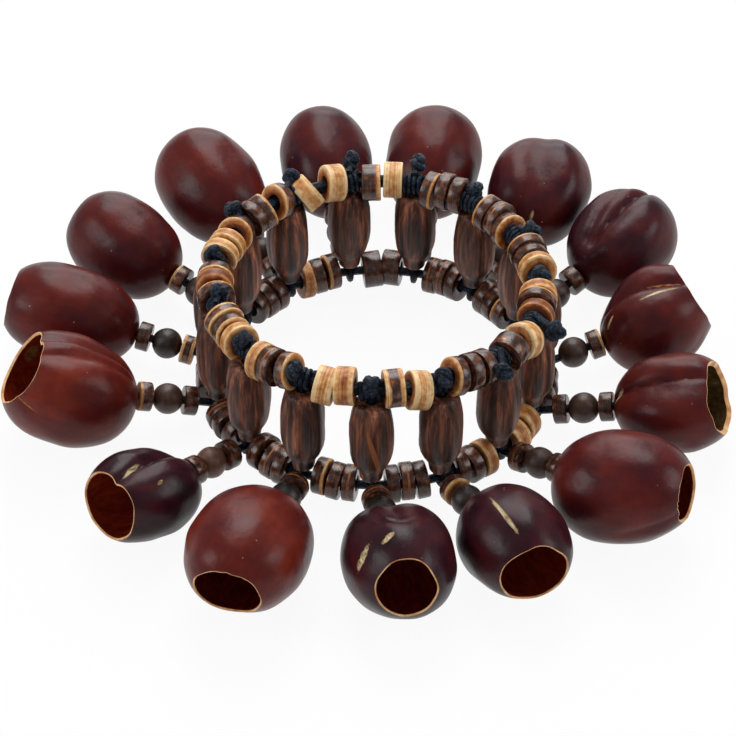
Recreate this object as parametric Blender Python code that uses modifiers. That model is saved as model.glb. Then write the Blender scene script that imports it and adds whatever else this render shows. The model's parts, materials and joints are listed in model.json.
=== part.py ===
"""A bracelet shaker: hollow seed shells that swing round a double ring of wooden discs.

Palm-wood columns stand between an upper and a lower ring of coconut-wood discs, each threaded on a tie
of the upper cord. At the foot of each column a drop, which is a short string with a disc, a round bead
and another disc, is looped on the lower cord and carries a seed shell sawn open at its outer end. The
shells swing and turn on their drops and knock together when the wrist shakes.

Units are metres and +Z is up. The bracelet lies on z = 0. Azimuths run anticlockwise from +X.
"""

import math
from collections import namedtuple

import bmesh
import bpy
from mathutils import Matrix, Vector

MM = 0.001

# The bracelet: how many columns, drops and shells go round it, and where the first one stands
COUNT = 15
FIRST_AZIMUTH = math.radians(148.0)
RING_CENTRE_X = 3.6 * MM
RING_CENTRE_Y = 0.7 * MM

# The two rings
LOWER_RING_RADIUS = 36.8 * MM
UPPER_RING_RADIUS = 36.0 * MM
CORD_DIAMETER = 2.0 * MM
DISC_DIAMETER = 8.6 * MM
DISC_GAP = 0.35 * MM
TIE_ROOM = 6.2 * MM
LOWER_DISC_COUNTS = (3, 2, 3, 3, 3, 3, 3, 2, 3, 3, 3, 3, 2, 3, 3)
UPPER_DISC_COUNTS = (3, 3, 3, 3, 2, 2, 3, 2, 3, 3, 3, 3, 2, 2, 3)
PALE_PLACES = (2, 1, 2, 0, 0, 1, 0, 1, 0, 0, None, None, 0, 0, 1)

# The ties of the upper cord: a knot over each column, and a core down its bore
KNOT_DIAMETER = 5.0 * MM
KNOT_OUT = 1.6 * MM
KNOT_UP = 2.7 * MM
TIE_DIAMETER = 1.6 * MM

# The columns
COLUMN_LENGTH = 23.4 * MM
COLUMN_DIAMETER = 9.9 * MM
COLUMN_END_DIAMETER = 4.4 * MM
# The outline between its necks: shares of the widest diameter and of the way down
COLUMN_SHOULDER = (0.82, 0.03)
COLUMN_BELLY = (1.0, 0.34)
COLUMN_WAIST = (0.88, 0.68)
COLUMN_FOOT = (0.60, 0.93)

# The drops, from the loop on the lower cord out to the stop knot inside the shell
LOOP_THICKNESS = 1.0 * MM
LOOP_SIDES = 4
DROP_CORD_DIAMETER = 1.8 * MM
DROP_START = 5.2 * MM
DROP_DISC_COUNTS = (2, 2, 2, 2, 2, 2, 2, 2, 2, 1, 2, 2, 2, 2, 2)
DROP_DISC_DIAMETER = 6.6 * MM
DROP_DISC_THICKNESS = 3.0 * MM
BEAD_DIAMETER = 7.0 * MM
BEAD_CORNER = math.radians(50.0)
STOP_KNOT_DIAMETER = 4.2 * MM
STOP_KNOT_DEPTH = 1.6 * MM

# The seed shells
SHELL_WALL = 1.0 * MM
SHELL_FULLNESS = 2.25
SHELL_EGG = 0.05
GROOVE_SPREAD = math.radians(34.0)

# Clearances
FIT = 0.3 * MM

# How finely round shapes are divided, and how close points are merged
CORD_SIDES = 8
TIE_SIDES = 6
KNOT_RINGS = 4
TURNED_STEPS = 8
SHELL_SIDES = 12
SHELL_RINGS = 7
MERGE = 0.001 * MM
SHARP_ANGLE = math.radians(35.0)
REST_STEPS = 12

# Each shell, in millimetres and degrees: the way its drop splays to the left, the whole seed's length,
# width and height, the lean of the seed to the left of its drop, the pitch of its mouth upwards, the
# groove's place clockwise from the top and its depth, and the saw cut's depth and upward tip
Shell = namedtuple("Shell", "splay length width height lean pitch groove_at groove cut tip")
SHELLS = (
    Shell(0.0, 29.0, 22.8, 22.5, -6, 0, 30, 0.5, 2.4, -5),
    Shell(-4.0, 32.0, 22.8, 21.8, 0, 0, 0, 0.3, 2.2, 0),
    Shell(-6.5, 30.5, 25.6, 25.0, -8, 8, -30, 1.2, 3.0, 15),
    Shell(5.7, 26.0, 20.5, 20.0, -12, 4, 0, 1.4, 3.0, 12),
    Shell(7.4, 31.0, 26.5, 25.5, -4, 0, 60, 0.4, 2.6, 5),
    Shell(12.6, 28.5, 25.0, 24.5, 2, 4, 10, 1.2, 2.6, 22),
    Shell(6.4, 28.0, 23.2, 23.2, -3, 0, -40, 0.6, 2.6, 6),
    Shell(5.5, 31.5, 25.2, 24.8, 18, 0, 0, 0.3, 1.8, -4),
    Shell(10.5, 27.0, 22.4, 22.0, -2, 0, -10, 1.5, 3.4, 10),
    Shell(11.4, 27.0, 22.8, 22.4, 14, 0, 20, 1.8, 2.8, -10),
    Shell(10.8, 27.5, 23.8, 23.5, 12, 0, 0, 1.6, 2.4, -12),
    Shell(7.4, 27.5, 24.0, 23.6, 14, 0, 0, 1.8, 2.4, -14),
    Shell(5.5, 29.0, 23.0, 23.5, 0, 0, -20, 0.8, 2.4, -10),
    Shell(0.0, 29.0, 22.0, 22.5, 0, 0, 30, 0.5, 2.4, -10),
    Shell(0.0, 31.0, 24.0, 24.0, 0, 0, -45, 0.4, 2.4, -6),
)

# Sizes that follow from those above
PITCH = 2.0 * math.pi / COUNT
CORD_RADIUS = CORD_DIAMETER / 2
DISC_RADIUS = DISC_DIAMETER / 2
LOOP_MIDDLE = CORD_RADIUS + FIT + LOOP_THICKNESS / 2
LOWER_Z = DISC_RADIUS * math.cos(math.pi / CORD_SIDES)
COLUMN_FOOT_Z = LOWER_Z + LOOP_MIDDLE + LOOP_THICKNESS / 2 + FIT
COLUMN_TOP_Z = COLUMN_FOOT_Z + COLUMN_LENGTH
UPPER_Z = COLUMN_TOP_Z + FIT + CORD_RADIUS


def clear_scene():
    """Start from an empty scene."""
    for old in list(bpy.data.objects):
        bpy.data.objects.remove(old, do_unlink=True)


def add_collection(name):
    """A new collection in the scene."""
    collection = bpy.data.collections.new(name)
    bpy.context.scene.collection.children.link(collection)
    return collection


def add_material(name, colour, roughness):
    """A plain finish: a colour and how dull it is."""
    material = bpy.data.materials.new(name)
    material.use_nodes = True
    surface = material.node_tree.nodes["Principled BSDF"]
    surface.inputs["Base Color"].default_value = (*colour, 1.0)
    surface.inputs["Roughness"].default_value = roughness
    surface.inputs["Metallic"].default_value = 0.0
    return material


def add_part(name, mesh, material, parent=None):
    """A named piece of the bracelet."""
    part = bpy.data.objects.new(name, mesh)
    PARTS.objects.link(part)
    if not mesh.materials:
        mesh.materials.append(material)
    mesh.shade_smooth()
    mesh.set_sharp_from_angle(angle=SHARP_ANGLE)
    part.parent = parent
    return part


def add_helper(name, mesh, collection, parent=None):
    """A cutter, or a shape that is joined to a piece, which isn't a piece itself."""
    helper = bpy.data.objects.new(name, mesh)
    collection.objects.link(helper)
    helper.hide_render = True
    helper.display_type = "WIRE"
    helper.parent = parent
    return helper


def add_pivot(name, matrix, parent):
    """An empty on a joint's axis, which carries the pieces that move there."""
    pivot = bpy.data.objects.new(name, None)
    pivot.empty_display_size = CORD_DIAMETER
    PARTS.objects.link(pivot)
    pivot.parent = parent
    pivot.matrix_local = matrix
    return pivot


def finished_mesh(source, name):
    """The evaluated shape of an object as a mesh of its own; the object is removed."""
    bpy.context.view_layer.update()
    evaluated = source.evaluated_get(bpy.context.evaluated_depsgraph_get())
    mesh = bpy.data.meshes.new_from_object(evaluated)
    mesh.name = name
    bm = bmesh.new()
    bm.from_mesh(mesh)
    bmesh.ops.remove_doubles(bm, verts=bm.verts, dist=MERGE)
    bm.to_mesh(mesh)
    bm.free()
    bpy.data.objects.remove(source, do_unlink=True)
    return mesh


def turned_mesh(name, profile, steps, closed):
    """Turn a profile of (radius, height) points, listed from top to bottom, about Z."""
    bm = bmesh.new()
    points = [bm.verts.new((radius, 0.0, height)) for radius, height in profile]
    for upper, lower in zip(points, points[1:]):
        bm.edges.new((upper, lower))
    if closed:
        bm.edges.new((points[-1], points[0]))
    outline = bpy.data.meshes.new(name + "_outline")
    bm.to_mesh(outline)
    bm.free()
    turned = add_helper(name, outline, HELPERS)
    screw = turned.modifiers.new("Turn", "SCREW")
    screw.axis = "Z"
    screw.steps = steps
    screw.render_steps = steps
    screw.use_merge_vertices = True
    screw.merge_threshold = MERGE
    return finished_mesh(turned, name)


def clear_bore(diameter, sides):
    """The corner radius of a bore with this many sides that clears a round core all over."""
    return (diameter / 2 + FIT) / math.cos(math.pi / sides)


def azimuth_of(number):
    """The azimuth of a column, counted from 0."""
    return FIRST_AZIMUTH + PITCH * number


def ring_point(azimuth, radius, height):
    """A point at a place round the bracelet."""
    return Vector((radius * math.cos(azimuth), radius * math.sin(azimuth), height))


def stack_discs(number, discs, ring_radius):
    """The start and end azimuth of each disc in the stack that follows a column."""
    length = PITCH * ring_radius - TIE_ROOM
    thickness = (length - (discs - 1) * DISC_GAP) / discs
    first = azimuth_of(number) + TIE_ROOM / 2 / ring_radius
    starts = [first + place * (thickness + DISC_GAP) / ring_radius for place in range(discs)]
    return [(start, start + thickness / ring_radius) for start in starts]


def string_mesh(name, ring_radius, height, stacks, left_out):
    """A ring of cord that swells to a disc wherever one is threaded on it."""
    half_gap = DISC_GAP / 2 / ring_radius
    route = []
    for number, discs in enumerate(stacks):
        route.append((azimuth_of(number), CORD_RADIUS))
        for place, (start, end) in enumerate(stack_discs(number, discs, ring_radius)):
            if place == left_out[number]:
                continue
            if start - half_gap > route[-1][0] + half_gap:
                route.append((start - half_gap, CORD_RADIUS))
            route.append((start, DISC_RADIUS))
            route.append((end, DISC_RADIUS))
            route.append((end + half_gap, CORD_RADIUS))
    curve = bpy.data.curves.new(name, "CURVE")
    curve.dimensions = "3D"
    curve.twist_mode = "Z_UP"
    curve.bevel_depth = 1.0
    curve.bevel_resolution = (CORD_SIDES - 4) // 2
    spline = curve.splines.new("POLY")
    spline.points.add(len(route) - 1)
    spline.use_cyclic_u = True
    for point, (azimuth, radius) in zip(spline.points, route):
        point.co = (*ring_point(azimuth, ring_radius, height), 1.0)
        point.radius = radius
        point.tilt = math.pi / CORD_SIDES
    cord = bpy.data.objects.new(name, curve)
    HELPERS.objects.link(cord)
    return finished_mesh(cord, name)


def add_lower_string(root, material):
    """The lower cord with its dark discs, on which the bracelet lies."""
    nothing = [None] * COUNT
    mesh = string_mesh("lower_string", LOWER_RING_RADIUS, LOWER_Z, LOWER_DISC_COUNTS, nothing)
    add_part("lower_string", mesh, material, root)


def add_upper_string(root, material):
    """The upper cord with its dark discs, its knots and the ties that hold the columns.

    A tie ends in its knot, wherever the two rings' radii put the knot."""
    mesh = string_mesh("upper_string", UPPER_RING_RADIUS, UPPER_Z, UPPER_DISC_COUNTS, PALE_PLACES)
    string = add_part("upper_string", mesh, material, root)
    tie_length = UPPER_Z + KNOT_UP - COLUMN_FOOT_Z
    knot_radius = UPPER_RING_RADIUS + KNOT_OUT
    for number in range(COUNT):
        azimuth = azimuth_of(number)
        bm = bmesh.new()
        bmesh.ops.create_uvsphere(bm, u_segments=TIE_SIDES, v_segments=KNOT_RINGS, radius=KNOT_DIAMETER / 2)
        place = ring_point(azimuth, knot_radius, UPPER_Z + KNOT_UP)
        bmesh.ops.transform(bm, matrix=Matrix.Translation(place), verts=bm.verts)
        knot = bpy.data.meshes.new("knot")
        bm.to_mesh(knot)
        bm.free()
        add_helper("knot", knot, TIES, root)
        bm = bmesh.new()
        bmesh.ops.create_cone(
            bm, cap_ends=True, segments=TIE_SIDES, depth=tie_length,
            radius1=TIE_DIAMETER / 2, radius2=TIE_DIAMETER / 2,
        )
        middle = ring_point(azimuth, LOWER_RING_RADIUS, COLUMN_FOOT_Z + tie_length / 2)
        bmesh.ops.transform(bm, matrix=Matrix.Translation(middle), verts=bm.verts)
        tie = bpy.data.meshes.new("tie")
        bm.to_mesh(tie)
        bm.free()
        add_helper("tie", tie, TIES, root)
        bm = bmesh.new()
        bmesh.ops.create_cone(
            bm, cap_ends=True, segments=TIE_SIDES, depth=abs(knot_radius - LOWER_RING_RADIUS) + TIE_DIAMETER,
            radius1=TIE_DIAMETER / 2, radius2=TIE_DIAMETER / 2,
        )
        middle = ring_point(azimuth, (knot_radius + LOWER_RING_RADIUS) / 2, UPPER_Z + KNOT_UP)
        outward = Matrix.Rotation(azimuth, 4, "Z") @ Matrix.Rotation(math.pi / 2, 4, "Y")
        bmesh.ops.transform(bm, matrix=Matrix.Translation(middle) @ outward, verts=bm.verts)
        tie_end = bpy.data.meshes.new("tie_end")
        bm.to_mesh(tie_end)
        bm.free()
        add_helper("tie_end", tie_end, TIES, root)
    join = string.modifiers.new("Ties", "BOOLEAN")
    join.operation = "UNION"
    join.solver = "EXACT"
    join.operand_type = "COLLECTION"
    join.collection = TIES


def add_pale_discs(root, material):
    """The pale discs on the upper cord, bored to slide on it."""
    bore = clear_bore(CORD_DIAMETER, TURNED_STEPS)
    made = 0
    for number, place in enumerate(PALE_PLACES):
        if place is None:
            continue
        made += 1
        start, end = stack_discs(number, UPPER_DISC_COUNTS[number], UPPER_RING_RADIUS)[place]
        half = (UPPER_RING_RADIUS - DISC_RADIUS) * math.tan((end - start) / 2)
        name = f"pale_disc_{made:02d}"
        profile = ((bore, half), (DISC_RADIUS, half), (DISC_RADIUS, -half), (bore, -half))
        disc = add_part(name, turned_mesh(name, profile, TURNED_STEPS, True), material, root)
        middle = (start + end) / 2
        disc.location = ring_point(middle, UPPER_RING_RADIUS, UPPER_Z)
        disc.rotation_euler = (math.pi / 2, math.pi / TURNED_STEPS, middle)


def column_profile():
    """Half the outline of a column: necks between the discs, a belly, and the bore."""
    bore = clear_bore(TIE_DIAMETER, TURNED_STEPS)
    end = COLUMN_END_DIAMETER / 2
    belly = COLUMN_DIAMETER / 2
    upper_neck = DISC_RADIUS - CORD_RADIUS
    lower_neck = LOWER_Z + DISC_RADIUS - COLUMN_FOOT_Z + FIT
    body_top = COLUMN_LENGTH - upper_neck
    body = body_top - lower_neck
    turned = (COLUMN_SHOULDER, COLUMN_BELLY, COLUMN_WAIST, COLUMN_FOOT)
    return (
        (bore, COLUMN_LENGTH),
        (end, COLUMN_LENGTH),
        (end + FIT, body_top),
        *((wide * belly, body_top - down * body) for wide, down in turned),
        (end + FIT, lower_neck),
        (end, 0.0),
        (bore, 0.0),
    )


def add_columns(root, material):
    """The carved columns, which spin on their ties."""
    mesh = turned_mesh("column", column_profile(), TURNED_STEPS, True)
    for number in range(COUNT):
        place = ring_point(azimuth_of(number), LOWER_RING_RADIUS, COLUMN_FOOT_Z)
        turn = Matrix.Translation(place) @ Matrix.Rotation(azimuth_of(number), 4, "Z")
        column = add_part(f"column_{number + 1:02d}", mesh, material, root)
        column.matrix_local = turn


def drop_end(discs):
    """How far a drop's outermost disc reaches from the lower cord."""
    return DROP_START + discs * (DROP_DISC_THICKNESS + DISC_GAP) + BEAD_DIAMETER


def drop_profile(discs):
    """Half the outline of a drop along Z, from the stop knot in to the loop."""
    cord = DROP_CORD_DIAMETER / 2
    disc = DROP_DISC_DIAMETER / 2
    bead = BEAD_DIAMETER / 2
    knot = STOP_KNOT_DIAMETER / 2
    end = drop_end(discs)
    outer_disc = end - DROP_DISC_THICKNESS
    bead_middle = outer_disc - DISC_GAP - bead
    knot_start = end + FIT + SHELL_WALL + STOP_KNOT_DEPTH
    profile = [
        (0.0, knot_start + 2 * knot),
        (knot, knot_start + knot),
        (cord, knot_start),
        (cord, end),
        (disc, end),
        (disc, outer_disc),
        (cord, bead_middle + bead),
        (bead * math.sin(BEAD_CORNER), bead_middle + bead * math.cos(BEAD_CORNER)),
        (bead, bead_middle),
        (bead * math.sin(BEAD_CORNER), bead_middle - bead * math.cos(BEAD_CORNER)),
        (cord, bead_middle - bead),
    ]
    if discs > 1:
        inner_disc = DROP_START + DROP_DISC_THICKNESS
        profile += [(disc, inner_disc), (disc, DROP_START), (cord, DROP_START)]
    return profile + [(cord, LOOP_MIDDLE), (0.0, LOOP_MIDDLE)]


def drop_mesh(discs):
    """A drop along Z: the turned string of beads, joined to the loop round the lower cord."""
    turned = turned_mesh("drop", drop_profile(discs), TURNED_STEPS, False)
    string = add_helper("drop", turned, HELPERS)
    bpy.ops.mesh.primitive_torus_add(
        major_segments=TURNED_STEPS, minor_segments=LOOP_SIDES,
        major_radius=LOOP_MIDDLE / math.cos(math.pi / TURNED_STEPS),
        minor_radius=LOOP_THICKNESS / 2,
        rotation=(math.pi / 2, 0.0, 0.0),
    )
    torus = bpy.context.object
    loop = add_helper("loop", torus.data, HELPERS)
    loop.matrix_world = torus.matrix_world
    bpy.data.objects.remove(torus, do_unlink=True)
    join = string.modifiers.new("Loop", "BOOLEAN")
    join.operation = "UNION"
    join.solver = "EXACT"
    join.object = loop
    return finished_mesh(string, "drop")


def seed_point(unit, shell):
    """Move a point of a unit sphere, whose +Z is the outer end, to the seed's surface."""
    around = math.hypot(unit.x, unit.y)
    full = (abs(unit.z) ** SHELL_FULLNESS + around ** SHELL_FULLNESS) ** (-1.0 / SHELL_FULLNESS)
    from_groove = math.atan2(unit.y, unit.x)
    turn = from_groove + math.radians(shell.groove_at)
    side = full * around * (1.0 + SHELL_EGG * unit.z)
    dip = shell.groove * MM * math.exp(-(from_groove / GROOVE_SPREAD) ** 2) * around ** 2
    return Vector((
        (side * shell.height * MM / 2 - dip) * math.cos(turn),
        (side * shell.width * MM / 2 - dip) * math.sin(turn),
        full * unit.z * shell.length * MM / 2,
    ))


def shell_mesh(name, shell):
    """The outside of a seed with its outer end sawn off, about the seed's middle."""
    bm = bmesh.new()
    bmesh.ops.create_uvsphere(bm, u_segments=SHELL_SIDES, v_segments=SHELL_RINGS, radius=1.0)
    for vert in bm.verts:
        vert.co = seed_point(vert.co, shell)
    saw = Matrix.Rotation(math.radians(shell.tip), 3, "Y") @ Vector((0.0, 0.0, 1.0))
    bmesh.ops.bisect_plane(
        bm, geom=bm.verts[:] + bm.edges[:] + bm.faces[:],
        plane_co=(0.0, 0.0, (shell.length / 2 - shell.cut) * MM), plane_no=saw, clear_outer=True,
    )
    mesh = bpy.data.meshes.new(name)
    bm.to_mesh(mesh)
    bm.free()
    return mesh


def rise_to_rest(points, reach):
    """How far a drop slopes up when the lowest point of its shell lies on the ground."""
    rise = 0.0
    for _ in range(REST_STEPS):
        heights = [(reach + p.z) * math.sin(rise) + p.x * math.cos(rise) for p in points]
        rise -= (LOWER_Z + min(heights)) / reach
    return rise


def add_drops_and_shells(root, drop_material, shell_material):
    """The drops on their loops, each with its shell, swinging from a pivot on the lower cord."""
    drop_shapes = {discs: drop_mesh(discs) for discs in sorted(set(DROP_DISC_COUNTS))}
    for number, shell in enumerate(SHELLS):
        discs = DROP_DISC_COUNTS[number]
        name = f"shell_{number + 1:02d}"
        mesh = shell_mesh(name, shell)
        lean = Matrix.Rotation(math.radians(shell.lean), 4, "X")
        tilt = lean @ Matrix.Rotation(math.radians(shell.pitch), 4, "Y")
        points = [tilt @ vert.co for vert in mesh.vertices]
        reach = drop_end(discs) + FIT - min(point.z for point in points)
        heading = azimuth_of(number) + math.radians(shell.splay)
        rise = rise_to_rest(points, reach)
        place = ring_point(azimuth_of(number), LOWER_RING_RADIUS, LOWER_Z)
        facing = Matrix.Rotation(heading, 4, "Z") @ Matrix.Rotation(math.pi / 2 - rise, 4, "Y")
        upright = Matrix.Rotation(math.pi, 4, "Z")
        pivot_matrix = Matrix.Translation(place) @ facing @ upright
        pivot = add_pivot(f"drop_{number + 1:02d}_pivot", pivot_matrix, root)
        add_part(f"drop_{number + 1:02d}", drop_shapes[discs], drop_material, pivot)
        part = add_part(name, mesh, shell_material, pivot)
        part.matrix_local = Matrix.Translation((0.0, 0.0, reach)) @ tilt
        wall = part.modifiers.new("Wall", "SOLIDIFY")
        wall.thickness = SHELL_WALL
        wall.offset = -1.0
        wall.use_even_offset = True
        bm = bmesh.new()
        bore = clear_bore(DROP_CORD_DIAMETER, TURNED_STEPS)
        depth = 4 * SHELL_WALL + STOP_KNOT_DEPTH
        bmesh.ops.create_cone(
            bm, cap_ends=True, segments=TURNED_STEPS, depth=depth, radius1=bore, radius2=bore,
        )
        cutter = bpy.data.meshes.new(name + "_hole")
        bm.to_mesh(cutter)
        bm.free()
        hole = add_helper(name + "_hole", cutter, HELPERS, pivot)
        hole.location = (0.0, 0.0, drop_end(discs) + SHELL_WALL)
        drill = part.modifiers.new("Hole", "BOOLEAN")
        drill.operation = "DIFFERENCE"
        drill.solver = "EXACT"
        drill.object = hole


clear_scene()
PARTS = add_collection("bracelet_shaker")
HELPERS = add_collection("helpers")
TIES = add_collection("ties")

ring = add_pivot("ring", Matrix.Translation((RING_CENTRE_X, RING_CENTRE_Y, 0.0)), None)
dark_disc = add_material("dark coconut wood and cord", (0.045, 0.022, 0.015), 0.35)
pale_disc = add_material("pale coconut wood", (0.60, 0.36, 0.13), 0.5)
palm_wood = add_material("palm wood", (0.085, 0.035, 0.018), 0.5)
drop_wood = add_material("stained bead wood", (0.060, 0.026, 0.017), 0.4)
seed_wood = add_material("seed shell", (0.095, 0.016, 0.012), 0.42)

add_lower_string(ring, dark_disc)
add_upper_string(ring, dark_disc)
add_pale_discs(ring, pale_disc)
add_columns(ring, palm_wood)
add_drops_and_shells(ring, drop_wood, seed_wood)
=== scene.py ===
# %% [markdown]
# # A bracelet shaker
# The bracelet is two rings of coconut-wood discs with carved palm-wood columns between them. From the
# foot of each column a short beaded drop carries a hollow seed, sawn open at its outer end. Here the
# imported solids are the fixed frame, and each piece is modelled again in detail on the body that carries it.

# %% Load the frame
import json
import math
import random
from collections import namedtuple
from functools import partial

import bmesh
import bpy
from mathutils import Matrix, Vector, noise


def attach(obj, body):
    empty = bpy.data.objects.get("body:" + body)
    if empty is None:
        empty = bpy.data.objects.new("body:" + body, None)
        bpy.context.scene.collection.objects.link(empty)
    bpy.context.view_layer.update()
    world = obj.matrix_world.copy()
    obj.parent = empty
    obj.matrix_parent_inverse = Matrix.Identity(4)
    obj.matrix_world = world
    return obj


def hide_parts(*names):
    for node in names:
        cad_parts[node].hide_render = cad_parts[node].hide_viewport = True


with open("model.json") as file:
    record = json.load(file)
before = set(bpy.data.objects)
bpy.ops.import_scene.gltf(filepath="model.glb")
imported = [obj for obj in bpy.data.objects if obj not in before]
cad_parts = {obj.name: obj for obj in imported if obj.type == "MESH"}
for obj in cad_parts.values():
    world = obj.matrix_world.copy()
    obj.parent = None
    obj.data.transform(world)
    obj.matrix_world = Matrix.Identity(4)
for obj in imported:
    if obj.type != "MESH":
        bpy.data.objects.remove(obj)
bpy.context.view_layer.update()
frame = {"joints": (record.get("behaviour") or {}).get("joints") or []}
joints = {joint["name"]: joint for joint in frame["joints"]}
MM = 0.001
COUNT = 15

# %% [markdown]
# ## Camera
# The photograph looks down at the bracelet from the front with a long lens, so far parts are barely
# smaller than near ones. A camera that is aimed with a Track To constraint would also do, but the
# direction is known, so a quaternion turns it once and nothing stays live.

# %% Camera
CAMERA_RISE = math.radians(41.5)
CAMERA_DISTANCE = 700 * MM
AIM = Vector((1.6, -4.3, 10.0)) * MM

camera = bpy.data.objects.new("camera", bpy.data.cameras.new("camera"))
camera.data.lens = 152.2
camera.data.sensor_width = 36.0
camera.data.clip_start = 0.01
back_to_camera = Vector((0.0, -math.cos(CAMERA_RISE), math.sin(CAMERA_RISE)))
camera.location = AIM + back_to_camera * CAMERA_DISTANCE
camera.rotation_euler = back_to_camera.to_track_quat("Z", "Y").to_euler()
bpy.context.scene.collection.objects.link(camera)
bpy.context.scene.camera = camera
print("camera at", [round(c / MM) for c in camera.location], "mm")

# %% [markdown]
# ## Small helpers for materials
# Colours are written as the hex values a colour picker shows, which are sRGB. Blender's sockets want
# linear light, so one function turns them. Another adds a node, and each material gets it bound to its own
# tree. What the node reads is given in the order of its sockets and the rest by name, so that a material
# reads as a list of steps. A ramp keeps its black at 0 and its white at 1 unless a stop is given there.

# %% Material helpers
WHITE = (1.0, 1.0, 1.0, 1.0)
SAME_STOP = 1e-4


def colour(text):
    """A hex sRGB colour as linear RGBA."""
    parts = [int(text[i:i + 2], 16) / 255 for i in (1, 3, 5)]
    return (*[c / 12.92 if c <= 0.04045 else ((c + 0.055) / 1.055) ** 2.4 for c in parts], 1.0)


def per_mm(size):
    """The texture scale whose features are about this many millimetres wide."""
    return 1.0 / (size * MM)


def set_socket(socket, value):
    """Set a socket to a value, or link it to an output or to the first live output of a node."""
    if isinstance(value, bpy.types.Node):
        value = next(output for output in value.outputs if output.enabled)
    if isinstance(value, bpy.types.NodeSocket):
        socket.id_data.links.new(value, socket)
    else:
        socket.default_value = value


def add_node(tree, kind, *inputs, stops=(), **settings):
    """Add a node: inputs fill its live sockets in order, settings are options and sockets by name."""
    node = tree.nodes.new("ShaderNode" + kind)
    named = {key: settings.pop(key) for key in list(settings) if key in node.inputs}
    for key, value in settings.items():
        setattr(node, key, value)
    for socket, value in zip([socket for socket in node.inputs if socket.enabled], inputs):
        set_socket(socket, value)
    for key, value in named.items():
        set_socket(node.inputs[key], value)
    for place, text in stops:
        near = min(node.color_ramp.elements, key=lambda element: abs(element.position - place))
        if abs(near.position - place) > SAME_STOP:
            near = node.color_ramp.elements.new(place)
        near.color = colour(text)
    return node


def new_material(name):
    """A material with a Principled surface, and add_node bound to its tree."""
    material = bpy.data.materials.new(name)
    material.use_nodes = True
    tree = material.node_tree
    return material, partial(add_node, tree), tree.nodes["Principled BSDF"]


def finish_surface(surface, base, roughness, bump, strength, depth, specular=0.5):
    """Give a surface its colour, roughness and shine, and a bump as deep as this many millimetres."""
    normal = add_node(surface.id_data, "Bump", Strength=strength, Distance=depth * MM, Height=bump)
    sockets = {
        "Base Color": base, "Roughness": roughness, "Specular IOR Level": specular, "Normal": normal}
    for name, value in sockets.items():
        set_socket(surface.inputs[name], value)


# %% [markdown]
# ## Seed coat
# The shells are dried rain-forest seeds. Their coat is hard and naturally polished to a satin, from a dark
# purple-brown to a clear mahogany red, with broad blotches, faint streaks along the seed and tiny pale
# specks. Where the coat is scraped the straw-coloured wall shows, and in a crack it is stained brown. Each
# seed stores its own coordinates in an attribute, so the streaks follow the seed whichever way it lies, and
# each scrape stores how far a point is along and across it.

# %% Seed coat
COAT_MARKS = ("scrape_a", "scrape_b", "crack")


def add_patch(add, attribute, inner, outer, fray=None):
    """1 in a patch and 0 outside it; the attribute holds how far a point is along and across it."""
    place = add("Attribute", attribute_name=attribute).outputs["Vector"]
    away = add("VectorMath", place, operation="LENGTH")
    if fray is not None:
        away = add("Math", away, fray, operation="ADD")
    return add("MapRange", away, inner, outer, 1.0, 0.0)


def make_seed_coat():
    """Satin seed coat: blotches 9 mm, streaks 1.8 mm wide, specks 0.4 mm, scrapes to the pale wall."""
    material, add, surface = new_material("satin seed coat")
    seed = add("Attribute", attribute_name="seed").outputs["Vector"]
    ripe = add("Attribute", attribute_name="ripe").outputs["Fac"]
    blotch = add("TexNoise", seed, Scale=per_mm(9.0), Detail=4.0, Roughness=0.55)
    along = add("Mapping", seed, Scale=(1.0, 1.0, 0.13))
    streak = add("TexNoise", along, Scale=per_mm(1.8), Detail=5.0, Roughness=0.6)
    blotched = add("Math", blotch, 1.1, -0.75, operation="MULTIPLY_ADD")
    streaked = add("Math", streak, 0.45, blotched, operation="MULTIPLY_ADD")
    tone = add("Math", streaked, ripe, operation="ADD", use_clamp=True)
    skin = add("ValToRGB", tone, stops=[
        (0.0, "#1e0a11"), (0.25, "#330f18"), (0.5, "#491415"), (0.75, "#5c1a13"), (1.0, "#742616")])
    grit = add("TexVoronoi", seed, Scale=per_mm(2.2))
    near = add("MapRange", grit, 0.05, 0.09, 1.0, 0.0)
    chosen = add("SeparateColor", grit.outputs["Color"])
    few = add("Math", chosen, 0.86, operation="GREATER_THAN")
    speck = add("Math", near, few, operation="MULTIPLY")
    faint = add("Math", speck, 0.55, operation="MULTIPLY")
    base = add("Mix", faint, skin, colour("#c9a896"), data_type="RGBA")
    ragged = add("TexNoise", along, Scale=per_mm(0.8), Detail=3.0)
    rough_edge = add("Math", ragged, 1.5, -0.75, operation="MULTIPLY_ADD")
    pale_wall = add("ValToRGB", ragged, stops=[(0.36, "#7a6044"), (0.5, "#b8a279"), (0.66, "#dccba6")])
    stained_wall = add("ValToRGB", ragged, stops=[(0.36, "#5e3218"), (0.62, "#b5743c")])
    bare = 0.0
    for name in COAT_MARKS:
        mark = add_patch(add, name, 0.75, 1.05, rough_edge)
        wall = stained_wall if name == "crack" else pale_wall
        base = add("Mix", mark, base, wall, data_type="RGBA")
        bare = add("Math", bare, mark, operation="MAXIMUM")
    dull = add("MapRange", blotch, 0.3, 0.75, 0.27, 0.4)
    duller = add("Math", bare, 0.3, dull, operation="MULTIPLY_ADD")
    wrinkle = add("TexNoise", seed, Scale=per_mm(2.6), Detail=5.0, Roughness=0.5)
    sunk = add("Math", wrinkle, bare, operation="SUBTRACT")
    finish_surface(surface, base, duller, bump=sunk, strength=0.4, depth=0.3, specular=0.2)
    return material


seed_coat = make_seed_coat()
print("made", seed_coat.name)

# %% [markdown]
# ## Inside and sawn edge of a seed
# Inside, the wall is raw: dark red and dull, with fibres that run along the seed. One old seed is lined
# with a brown crust, and another has a patch of it. The saw leaves a thin straw-coloured edge, a little
# orange where it is stained.

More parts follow.
